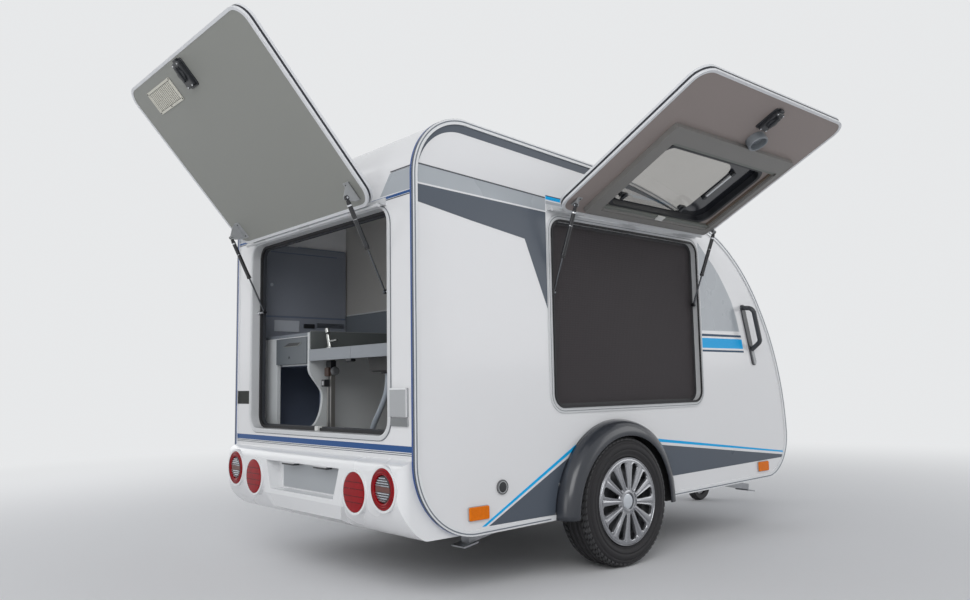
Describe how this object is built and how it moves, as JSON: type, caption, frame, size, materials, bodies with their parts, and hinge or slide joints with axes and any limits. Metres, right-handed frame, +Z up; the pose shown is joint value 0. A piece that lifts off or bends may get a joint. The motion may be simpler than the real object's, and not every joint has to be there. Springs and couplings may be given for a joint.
{
  "type": "teardrop camping trailer",
  "caption": "Small rounded camping trailer with a rear kitchen hatch, a hatch in each side, road wheels, a drawbar and a jockey wheel.",
  "frame": {"origin": "centre of the tow ball in the coupling head", "axes": "+X forward along the drawbar, +Y to the left, +Z up; the ground is at Z -0.398 m"},
  "size_m": [4.0994, 2.3521, 2.1184],
  "materials": {
    "white_skin": "gloss white sheet",
    "white_plastic": "gloss white",
    "dark_floor": "dark coated board",
    "trim": "painted white and blue",
    "black_plastic": "matt black",
    "seal": "matt black rubber",
    "screen": "dark brown net",
    "zinc": "galvanised",
    "lamp_red": "clear red",
    "amber": "clear amber",
    "grey_plastic": "light grey",
    "cabinet": "grey laminate",
    "grey_board": "grey laminate",
    "dark_glass": "smoked glass",
    "hose": "grey ribbed hose",
    "cushion": "grey fabric",
    "tyre": "black rubber",
    "silver": "silver paint",
    "tinted_glass": "tinted acrylic",
    "cassette": "beige",
    "black_metal": "gloss black",
    "steel": "polished rod",
    "jockey_rubber": "solid rubber"
  },
  "bodies": {
    "trailer": {"side_walls": "white_skin", "roof_panel": "white_skin", "front_panel": "white_skin", "rear_wall": "white_skin", "floor_panel": "dark_floor", "edge_trims": "trim", "wheel_arches": "black_plastic", "rear_frame": "white_plastic", "side_frames": "white_plastic", "frame_jambs": "white_plastic", "strut_studs": "steel", "hatch_seals": "seal", "insect_screen_right": "screen", "chassis": "zinc", "coupling_head": "zinc", "axle": "zinc", "jockey_tube": "zinc", "steady_bases": "zinc", "rear_bumper": "white_plastic", "tail_lamps": "lamp_red", "side_reflectors": "amber", "grab_handles": "black_plastic", "service_covers": "grey_plastic", "kitchen_cabinet": "cabinet", "worktop": "grey_board", "sink_lid": "dark_glass", "table_post": "zinc", "waste_hose": "hose", "mattress": "cushion"},
    "wheel_right": {"tyre_right": "tyre", "rim_right": "silver"},
    "wheel_left": {"tyre_left": "tyre", "rim_left": "silver"},
    "rear_hatch": {"rear_hatch_panel": "white_skin", "rear_hatch_edge": "white_plastic", "rear_hatch_fittings": "black_plastic"},
    "side_hatch_right": {"side_hatch_panel_right": "white_skin", "side_hatch_edge_right": "white_plastic", "side_window_right": "tinted_glass", "window_cassette_right": "cassette", "side_hatch_fittings_right": "black_plastic"},
    "side_hatch_left": {"side_hatch_panel_left": "white_skin", "side_hatch_edge_left": "white_plastic", "side_window_left": "tinted_glass", "window_cassette_left": "cassette", "side_hatch_fittings_left": "black_plastic"},
    "rear_strut_barrels": {"rear_strut_barrels": "black_metal"},
    "rear_strut_rods": {"rear_strut_rods": "steel"},
    "side_strut_barrels_right": {"side_strut_barrels_right": "black_metal"},
    "side_strut_rods_right": {"side_strut_rods_right": "steel"},
    "side_strut_barrels_left": {"side_strut_barrels_left": "black_metal"},
    "side_strut_rods_left": {"side_strut_rods_left": "steel"},
    "kitchen_drawer": {"kitchen_drawer": "cabinet"},
    "jockey_leg": {"jockey_leg": "zinc"},
    "jockey_fork": {"jockey_fork": "zinc"},
    "jockey_wheel": {"jockey_wheel": "jockey_rubber"},
    "steady_leg_front_right": {"steady_leg_front_right": "zinc"},
    "steady_leg_front_left": {"steady_leg_front_left": "zinc"},
    "steady_leg_rear_right": {"steady_leg_rear_right": "zinc"},
    "steady_leg_rear_left": {"steady_leg_rear_left": "zinc"}
  },
  "joints": [
    {"name": "wheel_spin_right", "type": "hinge", "parent": "trailer", "child": "wheel_right", "pos_m": [-2.36, -0.7, -0.122], "axis": [0, 1, 0], "continuous": true},
    {"name": "wheel_spin_left", "type": "hinge", "parent": "trailer", "child": "wheel_left", "pos_m": [-2.36, 0.7, -0.122], "axis": [0, 1, 0], "continuous": true},
    {"name": "rear_hatch_hinge", "type": "hinge", "parent": "trailer", "child": "rear_hatch", "pos_m": [-3.484, 0, 1.072], "axis": [0, 1, 0], "range_deg": [-138.6, 0]},
    {"name": "side_hatch_hinge_right", "type": "hinge", "parent": "trailer", "child": "side_hatch_right", "pos_m": [-2.218, -0.77, 1.114], "axis": [1, 0, 0], "range_deg": [0, 117.2]},
    {"name": "side_hatch_hinge_left", "type": "hinge", "parent": "trailer", "child": "side_hatch_left", "pos_m": [-2.218, 0.77, 1.114], "axis": [1, 0, 0], "range_deg": [0, 117.2]},
    {"name": "rear_strut_barrel_pivot", "type": "hinge", "parent": "rear_hatch", "child": "rear_strut_barrels", "pos_m": [-3.59179, 0, 1.09295], "axis": [0, 1, 0], "range_deg": [-0.01, 165.95]},
    {"name": "rear_strut_rod_slide", "type": "slide", "parent": "rear_strut_barrels", "child": "rear_strut_rods", "axis": [0.4479, 0, -0.8941], "range_m": [-0.16509, 0.00001]},
    {"name": "side_strut_right_barrel_pivot", "type": "hinge", "parent": "side_hatch_right", "child": "side_strut_barrels_right", "pos_m": [-2.218, -0.86612, 1.1173], "axis": [1, 0, 0], "range_deg": [-138.62, 0.01]},
    {"name": "side_strut_right_rod_slide", "type": "slide", "parent": "side_strut_barrels_right", "child": "side_strut_rods_right", "axis": [0, 0.3686, -0.9296], "range_m": [-0.12401, 0.00001]},
    {"name": "side_strut_left_barrel_pivot", "type": "hinge", "parent": "side_hatch_left", "child": "side_strut_barrels_left", "pos_m": [-2.218, 0.729, 1.027], "axis": [1, 0, 0], "range_deg": [-138.62, 0.01]},
    {"name": "side_strut_left_rod_slide", "type": "slide", "parent": "side_strut_barrels_left", "child": "side_strut_rods_left", "axis": [0, -0.0039, -1], "range_m": [-0.00801, 0.1167]},
    {"name": "drawer_slide", "type": "slide", "parent": "trailer", "child": "kitchen_drawer", "axis": [-1, 0, 0], "range_m": [0, 0.28]},
    {"name": "jockey_leg_slide", "type": "slide", "parent": "trailer", "child": "jockey_leg", "axis": [0, 0, 1], "range_m": [0, 0.06]},
    {"name": "jockey_swivel", "type": "hinge", "parent": "jockey_leg", "child": "jockey_fork", "pos_m": [-0.42, 0.15713, -0.176], "axis": [0, 0, 1], "continuous": true},
    {"name": "jockey_wheel_spin", "type": "hinge", "parent": "jockey_fork", "child": "jockey_wheel", "pos_m": [-0.456, 0.15713, -0.298], "axis": [0, 1, 0], "continuous": true},
    {"name": "steady_front_right", "type": "hinge", "parent": "trailer", "child": "steady_leg_front_right", "pos_m": [-1.39, -0.5, -0.136], "axis": [0, 1, 0], "range_deg": [0, 20]},
    {"name": "steady_front_left", "type": "hinge", "parent": "trailer", "child": "steady_leg_front_left", "pos_m": [-1.39, 0.5, -0.136], "axis": [0, 1, 0], "range_deg": [0, 20]},
    {"name": "steady_rear_right", "type": "hinge", "parent": "trailer", "child": "steady_leg_rear_right", "pos_m": [-2.65, -0.56, -0.136], "axis": [0, -1, 0], "range_deg": [0, 20]},
    {"name": "steady_rear_left", "type": "hinge", "parent": "trailer", "child": "steady_leg_rear_left", "pos_m": [-2.65, 0.56, -0.136], "axis": [0, -1, 0], "range_deg": [0, 20]}
  ],
  "couplings": [
    {"joint": "rear_strut_barrel_pivot", "follows": "rear_hatch_hinge", "ratio": -1.1972},
    {"joint": "rear_strut_rod_slide", "follows": "rear_hatch_hinge", "m_per_rad": 0.061411},
    {"joint": "side_strut_right_barrel_pivot", "follows": "side_hatch_hinge_right", "ratio": -1.1827},
    {"joint": "side_strut_right_rod_slide", "follows": "side_hatch_hinge_right", "m_per_rad": -0.057045},
    {"joint": "side_strut_left_barrel_pivot", "follows": "side_hatch_hinge_left", "ratio": -1.1827},
    {"joint": "side_strut_left_rod_slide", "follows": "side_hatch_hinge_left", "m_per_rad": 0.057045}
  ]
}
